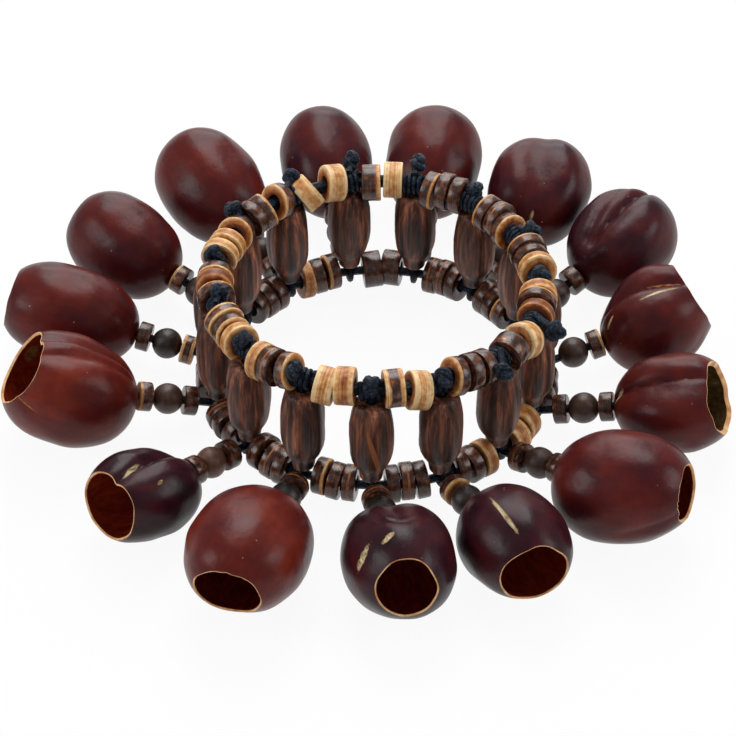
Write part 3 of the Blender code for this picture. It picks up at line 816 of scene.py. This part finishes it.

# %% [markdown]
# ## Waxed cord
# The discs are threaded on a blue-black waxed cotton cord. Its strands are about half a millimetre wide,
# too fine to model, so a noise in the colour and the bump gives them. The lightest, blue-grey tone of the
# strands is a painted sheen.

# %% Waxed cord
def make_waxed_cord():
    """Waxed cotton cord: blue-black, strands about 0.55 mm, a dull shine, and a painted blue-grey sheen."""
    material, add, surface = new_material("waxed cotton cord")
    spot = add("TexCoord").outputs["Object"]
    strand = add("TexNoise", spot, Scale=per_mm(0.55), Detail=3.0, Roughness=0.6)
    # The lightest stop, blue-grey, is painted sheen: the colour of the cord's highlights, laid on the strands
    # by the noise.
    shade = add("ValToRGB", strand, stops=[(0.38, "#05080d"), (0.55, "#101c2b"), (0.74, "#38546f")])
    finish_surface(surface, shade, 0.42, bump=strand, strength=0.8, depth=0.3, specular=0.2)
    return material


waxed_cord = make_waxed_cord()
print("made", waxed_cord.name)

# %% [markdown]
# ## Cords and knots
# A cord is a curve with a round bevel, made a mesh once its route is set. Over each column the tie is wound
# round the ring's cord and ends in a knot: the closed loop of an overhand knot, a trefoil, with two cut
# ends. Each knot is turned its own way, and some have slipped to the outside of the ring.

# %% Cords and knots
RING_STEPS = 120
KNOT_STEPS = 48
KNOT_CORD = 1.1 * MM
KNOT_SIZE = 0.5 * MM
KNOT_THICKNESS = 1.3
KNOT_TURN = (0.0, 6.28)
KNOT_TIP = (-0.6, 0.6)
END_CORD = 0.55 * MM
END_LIFT = (0.9, 1.7)
WRAP_RADIUS = 1.9 * MM
WRAP_CORD = 0.62 * MM
WRAP_PITCH = 1.2 * MM
WRAP_TURNS = 4
WRAP_STEPS = 8


def full_turn(steps):
    """The angles of a full turn."""
    return [2.0 * math.pi * step / steps for step in range(steps)]


def add_cord(bm, route, radius, cyclic, matrix=Matrix.Identity(4)):
    """Add a tube along a route to a bmesh."""
    curve = bpy.data.curves.new("route", "CURVE")
    curve.dimensions = "3D"
    curve.bevel_depth = radius
    curve.bevel_resolution = 2
    curve.use_fill_caps = True
    spline = curve.splines.new("POLY")
    spline.points.add(len(route) - 1)
    spline.use_cyclic_u = cyclic
    for point, spot in zip(spline.points, route):
        point.co = (*spot, 1.0)
    holder = bpy.data.objects.new("route", curve)
    mesh = bpy.data.meshes.new_from_object(holder)
    mesh.transform(matrix)
    bm.from_mesh(mesh)
    bpy.data.meshes.remove(mesh)
    bpy.data.objects.remove(holder)
    bpy.data.curves.remove(curve)


def add_ring_cord(bm, radius, height, thickness):
    """The cord of a ring, all the way round."""
    route = [ring_place(turn, radius, height(turn)).translation for turn in full_turn(RING_STEPS)]
    add_cord(bm, route, thickness, True)


def add_knot(bm, place):
    """An overhand knot with two cut ends."""
    loop = []
    for t in full_turn(KNOT_STEPS):
        across = (math.sin(t) + 2.0 * math.sin(2 * t), math.cos(t) - 2.0 * math.cos(2 * t))
        loop.append(Vector((*across, -KNOT_THICKNESS * math.sin(3 * t))) * KNOT_SIZE)
    spun = place @ Matrix.Rotation(shaker.uniform(*KNOT_TURN), 4, "Z")
    spun = spun @ Matrix.Rotation(shaker.uniform(*KNOT_TIP), 4, "X")
    add_cord(bm, loop, KNOT_CORD, True, spun)
    for side in (1.0, -1.0):
        lift = shaker.uniform(*END_LIFT)
        tail = [(0.2 * side, 0.3, 0.2), (0.9 * side, 0.4, 0.5 * lift), (1.5 * side, 0.2, lift)]
        add_cord(bm, [Vector(point) * MM for point in tail], END_CORD, False, spun)


def add_wraps(bm, place):
    """The turns of a tie round the ring's cord."""
    route = []
    for step in range(-WRAP_STEPS * WRAP_TURNS, WRAP_STEPS * WRAP_TURNS + 1):
        t = math.pi * step / WRAP_STEPS
        rise = WRAP_PITCH * t / (2.0 * math.pi)
        route.append(Vector((WRAP_RADIUS * math.cos(t), WRAP_RADIUS * math.sin(t), rise)))
    add_cord(bm, route, WRAP_CORD, False, place)


# %% [markdown]
# Each tie runs up through its column to the upper ring, bends over to its knot and is wound round the cord.

# %% Tie the rings
UPPER_CORD = 1.45 * MM
LOWER_CORD = 1.0 * MM
TIE_RADIUS = 0.8 * MM
TIE_BEND = 1.5 * MM
KNOT_OUT = 1.6 * MM
KNOT_UP = 2.7 * MM
COLUMN_FOOT_Z = 6.573 * MM
# How far each knot has slipped out, along the ring and up, in millimetres.
KNOT_SLIPS = (
    (1.2, -1.2, 0.3), (-0.8, -0.8, 0.0), (-2.4, -2.2, 0.3), (-0.5, -0.8, 0.3), (0.0, -1.4, 0.0),
    (0.0, 0.0, 0.0), (0.0, 0.0, 0.0), (2.6, -2.8, -2.0), (4.4, -1.8, -1.8), (-1.4, -1.6, 0.0),
    (0.4, -2.4, 0.3), (0.2, 1.2, -0.8), (2.2, 0.0, 0.3), (2.4, -1.2, 0.3), (1.6, -2.8, -0.2),
)

upper = bmesh.new()
add_ring_cord(upper, UPPER_RADIUS, upper_height, UPPER_CORD)
for number, (out, along, up) in enumerate(KNOT_SLIPS):
    azimuth = FIRST_AZIMUTH + PITCH * number
    height = upper_height(azimuth)
    foot = ring_place(azimuth, LOWER_RADIUS, COLUMN_FOOT_Z).translation
    top = ring_place(azimuth, LOWER_RADIUS, height + KNOT_UP).translation
    add_cord(upper, [foot, top], TIE_RADIUS, False)
    over = ring_place(azimuth, UPPER_RADIUS + KNOT_OUT, height + KNOT_UP)
    over = over @ Matrix.Translation(Vector((up, out, along)) * MM)
    add_knot(upper, over)
    add_wraps(upper, ring_place(azimuth, UPPER_RADIUS, height))
    add_cord(upper, [top - Vector((0.0, 0.0, TIE_BEND)), top, over.translation], TIE_RADIUS, False)
add_piece("upper_cord", upper, [waxed_cord], "rings", ["upper_string"])
lower = bmesh.new()
add_ring_cord(lower, LOWER_RADIUS, lower_height, LOWER_CORD)
add_piece("lower_cord", lower, [waxed_cord], "rings", ["lower_string"])
print(len(KNOT_SLIPS), "knots tied")

# %% [markdown]
# ## Palm wood
# The columns are carved from black palm. Its dark fibres run lengthwise through a red-brown ground. All
# columns stand upright, so streaks on object coordinates need only be stretched along Z. One column has a
# lighter streak, which it stores as a seed stores a scrape.

# %% Palm wood
def make_palm_wood():
    """Black palm: fibres 1.4 mm wide and 20 mm long, black on red-brown, worn to a satin."""
    material, add, surface = new_material("carved black palm")
    spot = add("TexCoord").outputs["Object"]
    along = add("Mapping", spot, Scale=(1.0, 1.0, 0.07))
    fibre = add("TexNoise", along, Scale=per_mm(1.4), Detail=4.0, Roughness=0.65)
    shade = add("ValToRGB", fibre, stops=[
        (0.36, "#1f120d"), (0.5, "#573428"), (0.61, "#8c5640"), (0.73, "#c27d59")])
    streak = add_patch(add, "streak", 0.7, 1.0)
    base = add("Mix", streak, shade, colour("#a9663c"), data_type="RGBA")
    finish_surface(surface, base, 0.46, bump=fibre, strength=0.5, depth=0.4, specular=0.3)
    return material


palm_wood = make_palm_wood()
print("made", palm_wood.name)

# %% [markdown]
# ## Columns
# The carver's facets leave shallow flutes. A turned outline is spun and each point is then drawn in or out
# by the flutes, more at the belly than at the ends, and by a noise that keeps them from being straight.

# %% Columns
# Half the outline, as (radius, height from the foot) in millimetres, from the bore's top to its foot.
COLUMN_OUTLINE = (
    (1.25, 22.1), (2.6, 22.1), (3.4, 21.9), (3.8, 21.4), (4.1, 20.3), (4.45, 18.6), (4.75, 16.4),
    (4.9, 13.7), (4.9, 11.2), (4.85, 9.4), (4.7, 7.6), (4.4, 6.0), (4.0, 4.9), (3.6, 4.1), (3.2, 3.4),
    (2.95, 2.85), (2.72, 2.1), (2.58, 1.1), (2.45, 0.3), (2.2, 0.0), (1.25, 0.0),
)
COLUMN_LENGTH = 22.1 * MM
COLUMN_STEPS = 48
PLAIN_RADIUS = 2.4
FLUTES = 7
FLUTE_DEPTH = 0.055
FLUTE_LEVEL = 0.8
FLUTE_BEND = 0.5
WAVER_DEPTH = 0.05
WAVER_LENGTH = 9 * MM
WAVER_PACE = 1.6
# The streak: the side of its column that can show it and how far round that goes, the streak's own angle,
# the column's radius and the height there and the streak's half sizes in millimetres, and its slants.
STREAKED_COLUMN = 6
STREAK_SIDE = math.radians(-88.0)
STREAK_REACH = 1.2
STREAK_AT = math.radians(-78.0)
STREAK_RADIUS = 4.6
STREAK_HEIGHT = 9.0
STREAK_HALF = (6.5, 0.7)
STREAK_SLANT = (1.5, 0.22)


def streak_place(number, point):
    """How far a point of a column is along and across its streak; far away where there is none."""
    turn = math.atan2(point.y, point.x)
    if number != STREAKED_COLUMN or abs(angle_between(turn, STREAK_SIDE)) >= STREAK_REACH:
        return NOWHERE
    side = angle_between(turn, STREAK_AT) * STREAK_RADIUS
    height = point.z / MM - STREAK_HEIGHT
    along = (height + STREAK_SLANT[0] * side) / STREAK_HALF[0]
    return along, (side + STREAK_SLANT[1] * height) / STREAK_HALF[1], 0.0


def make_column(number):
    """One carved column on its tie."""
    phase = random.Random(number).uniform(0.0, 6.28)
    bm = bmesh.new()
    spin_outline(bm, [(radius * MM, height * MM) for radius, height in COLUMN_OUTLINE], COLUMN_STEPS)
    for vert in bm.verts:
        radius = math.hypot(vert.co.x, vert.co.y)
        turn = math.atan2(vert.co.y, vert.co.x)
        belly = max(0.0, (radius / MM - PLAIN_RADIUS) / PLAIN_RADIUS)
        spot = Vector((math.cos(turn), math.sin(turn), vert.co.z / WAVER_LENGTH + number))
        waver = noise.noise(spot * WAVER_PACE)
        flute = abs(math.sin(turn * FLUTES / 2 + phase + FLUTE_BEND * waver))
        shape = 1.0 + belly * (FLUTE_DEPTH * (flute - FLUTE_LEVEL) + WAVER_DEPTH * waver)
        vert.co.x *= shape
        vert.co.y *= shape
    store(bm, "streak", [streak_place(number, vert.co) for vert in bm.verts])
    azimuth = FIRST_AZIMUTH + PITCH * (number - 1)
    foot = ring_place(azimuth, LOWER_RADIUS, COLUMN_FOOT_Z).translation
    shorter = Matrix.Scale(1.0 - (UPPER_Z - upper_height(azimuth)) / COLUMN_LENGTH, 4, (0.0, 0.0, 1.0))
    bmesh.ops.transform(bm, matrix=Matrix.Translation(foot) @ shorter, verts=bm.verts)
    name = f"column_{number:02d}"
    return add_piece(name + "_carved", bm, [palm_wood], name, [name])


columns = [make_column(number) for number in range(1, COUNT + 1)]
print(len(columns), "columns of", len(columns[0].data.polygons), "faces")

# %% [markdown]
# ## Bead wood
# The round beads are stained hardwood, nearly black on some drops and brown on others, with a close grain.

# %% Bead wood
def make_bead_wood():
    """Stained hardwood: a close grain about 1 mm wide, satin, lighter where it is rubbed."""
    material, add, surface = new_material("stained bead wood")
    spot = add("TexCoord").outputs["Object"]
    worn = add("Attribute", attribute_name="worn").outputs["Fac"]
    grain = add("TexNoise", spot, Scale=per_mm(1.0), Detail=5.0, Roughness=0.65)
    tone = add("Math", grain, 0.9, -0.4, operation="MULTIPLY_ADD")
    toned = add("Math", tone, worn, operation="ADD", use_clamp=True)
    shade = add("ValToRGB", toned, stops=[
        (0.0, "#110d0b"), (0.4, "#2b1d17"), (0.75, "#523527"), (1.0, "#6d4835")])
    finish_surface(surface, shade, 0.42, bump=grain, strength=0.4, depth=0.25)
    return material


bead_wood = make_bead_wood()
print("made", bead_wood.name)

# %% [markdown]
# ## Drops
# A drop is a cord looped round the lower ring's cord, with a disc, a round bead and another disc threaded
# on it, and a stop knot inside the shell. It swings as one, so it is one piece with three materials. The
# inner disc keeps a little room from the column's foot, which it would otherwise meet when the drop swings
# up.

# %% Drops
# The places of a drop's second and third material.
BEAD, CORD = 1, 2
SWING_ROOM = 0.25 * MM
LOOP_RADIUS = 1.8 * MM
LOOP_CORD = 0.75 * MM
LOOP_STEPS = 24
DROP_CORD = 0.9 * MM
DROP_DISC_RADIUS = 3.3 * MM
DROP_DISC_HALF = 3.0 * MM / 2
BEAD_ANGLES = [math.radians(angle) for angle in range(15, 166, 10)]
BEAD_STEPS = 32
BEAD_UNEVEN = 0.03
BEAD_PATCH = 3 * MM
WALL = 1.0 * MM
STOP_DEPTH = 1.6 * MM
STOP_END = 1.0 * MM
STOP_KNOT = 1.6 * MM
STOP_SCALE = 0.8
# The look of the inner and the outer disc of each drop, and how worn its bead is.
DROPS = (
    ("dark", "edge", 0.35), ("both", "dark", 0.3), ("dark", "edge", 0.6), ("dark", "dark", 0.9),
    ("line", "dark", 0.1), ("line", "dark", 0.15), ("edge", "dark", 0.25), ("line", "dark", 0.5),
    ("dark", "dark", 0.55), ("dark", "edge", 0.5), ("line", "dark", 0.45), ("dark", "dark", 0.3),
    ("dark", "line", 0.25), ("dark", "dark", 0.2), ("dark", "dark", 0.25),
)


def at_height(height):
    """A place along the drop."""
    return Matrix.Translation((0.0, 0.0, height))


def add_bead(bm, number, middle, worn):
    """The round bead of a drop, a little uneven and as worn as it is given."""
    wear = bm.verts.layers.float.new("worn")
    radius = BEAD_DIAMETER / 2
    outline = [(radius * math.sin(angle), radius * math.cos(angle)) for angle in BEAD_ANGLES]
    outline = [(DROP_CORD, outline[0][1])] + outline + [(DROP_CORD, outline[-1][1])]
    made = spin_outline(bm, outline, BEAD_STEPS)
    for vert in made:
        vert.co *= 1.0 + BEAD_UNEVEN * noise.noise(vert.co / BEAD_PATCH + Vector((number, 3.0, 0.0)))
        vert[wear] = worn
    for vert in made:
        for face in vert.link_faces:
            face.material_index = BEAD
    bmesh.ops.transform(bm, matrix=at_height(middle), verts=made)


def make_drop(number, inner, outer, worn):
    """One drop along Z from the lower cord, carried to its place."""
    end = drop_length(number)
    discs = DiscSet()
    if number not in DROPS_WITH_ONE_DISC:
        middle = at_height(DROP_START + DROP_DISC_HALF + SWING_ROOM)
        discs.add(middle, DROP_DISC_RADIUS, DROP_DISC_HALF, inner, DROP_CORD)
    discs.add(at_height(end - DROP_DISC_HALF), DROP_DISC_RADIUS, DROP_DISC_HALF, outer, DROP_CORD)
    bm = discs.bm
    add_bead(bm, number, end - DISC_STEP - BEAD_DIAMETER / 2, worn)
    beads = len(bm.faces)
    loop = [Vector((math.sin(t), 0.0, math.cos(t))) * LOOP_RADIUS for t in full_turn(LOOP_STEPS)]
    add_cord(bm, loop, LOOP_CORD, True)
    stop = end + FIT + WALL + STOP_DEPTH
    add_cord(bm, [(0.0, 0.0, LOOP_RADIUS), (0.0, 0.0, stop + STOP_END)], DROP_CORD, False)
    add_knot(bm, at_height(stop + STOP_KNOT) @ Matrix.Scale(STOP_SCALE, 4))
    bm.faces.ensure_lookup_table()
    for face in bm.faces[beads:]:
        face.material_index = CORD
    bmesh.ops.transform(bm, matrix=drop_place(number), verts=bm.verts)
    name = f"drop_{number:02d}"
    materials = [coconut_wood, bead_wood, waxed_cord]
    return add_piece(name + "_beads", bm, materials, name, [name])


drops = [make_drop(number, *drop) for number, drop in enumerate(DROPS, 1)]
print(len(drops), "drops")

# %% [markdown]
# ## Floor
# The bracelet lies in a light tent. The floor shines white in reflections. To the camera most of it is
# clear, with the white tent behind it, and the rest keeps a soft shadow, which fades out before the floor's
# far edge. From below it isn't there at all, so a shell that hangs under it, as when the bracelet is lifted
# and shaken, is lit and seen like the others.

# %% Floor
# In metres: half the floor's side, its height, and the distances between which its shadow fades. Near the
# bracelet the camera sees through this share of it.
FLOOR_HALF = 3.0
FLOOR_Z = -0.05 * MM
FADE_START, FADE_END = 0.09, 0.3
CLEAR_SHARE = 0.93

floor_mesh = bpy.data.meshes.new("floor")
bm = bmesh.new()
bmesh.ops.create_grid(bm, x_segments=1, y_segments=1, size=FLOOR_HALF)
bmesh.ops.translate(bm, vec=(0.0, 0.0, FLOOR_Z), verts=bm.verts)
bm.to_mesh(floor_mesh)
bm.free()
floor = bpy.data.objects.new("floor", floor_mesh)
bpy.context.scene.collection.objects.link(floor)
white_floor, add, surface = new_material("white tent floor")
set_socket(surface.inputs["Base Color"], colour("#f4f4f4"))
set_socket(surface.inputs["Roughness"], 0.9)
ray = add("LightPath").outputs
seen = add("Math", ray["Is Camera Ray"], ray["Is Glossy Ray"], operation="MAXIMUM")
seen = add("Math", seen, ray["Is Transmission Ray"], operation="MAXIMUM")
spot = add("TexCoord").outputs["Object"]
away = add("VectorMath", spot, operation="LENGTH")
faded = add("MapRange", away, FADE_START, FADE_END, CLEAR_SHARE, 1.0)
share = add("Math", seen, faded, operation="MULTIPLY")
glow = add("Emission", WHITE, 1.0)
clear = add("BsdfTransparent")
white = add("MixShader", ray["Is Camera Ray"], glow, clear)
above = add("MixShader", share, surface, white)
underside = add("NewGeometry").outputs["Backfacing"]
sided = add("MixShader", underside, above, clear)
set_socket(surface.id_data.nodes["Material Output"].inputs["Surface"], sided)
floor_mesh.materials.append(white_floor)
print("floor laid")

# %% [markdown]
# ## Light
# The tent gives a soft light from all round, and four softboxes give the seeds their shine. The tent is
# white to the camera, whatever light it gives.

# %% Light
TENT_LIGHT = 0.36
# Each softbox: where it hangs and its width, in metres, and its power in watts.
SOFTBOXES = {
    "top": ((0.0, 0.45, 0.7), 0.5, 4.4),
    "left": ((-0.75, -0.2, 0.45), 0.4, 2.3),
    "right": ((0.75, -0.1, 0.45), 0.4, 2.1),
    "back": ((0.0, 0.8, 0.35), 0.5, 1.9),
}

world = bpy.data.worlds.new("light tent")
bpy.context.scene.world = world
world.use_nodes = True
tree = world.node_tree
add = partial(add_node, tree)
straight = add("LightPath").outputs["Is Camera Ray"]
strength = add("Math", straight, 1.0 - TENT_LIGHT, TENT_LIGHT, operation="MULTIPLY_ADD")
tent = tree.nodes["Background"].inputs
set_socket(tent["Color"], WHITE)
set_socket(tent["Strength"], strength)
bpy.context.scene.view_settings.view_transform = "Standard"
for name, (spot, width, power) in SOFTBOXES.items():
    lamp = bpy.data.lights.new(name + " softbox", "AREA")
    lamp.size = width
    lamp.energy = power
    holder = bpy.data.objects.new(name + "_softbox", lamp)
    holder.location = spot
    holder.rotation_euler = Vector(spot).to_track_quat("Z", "Y").to_euler()
    bpy.context.scene.collection.objects.link(holder)
print(len(SOFTBOXES), "softboxes")
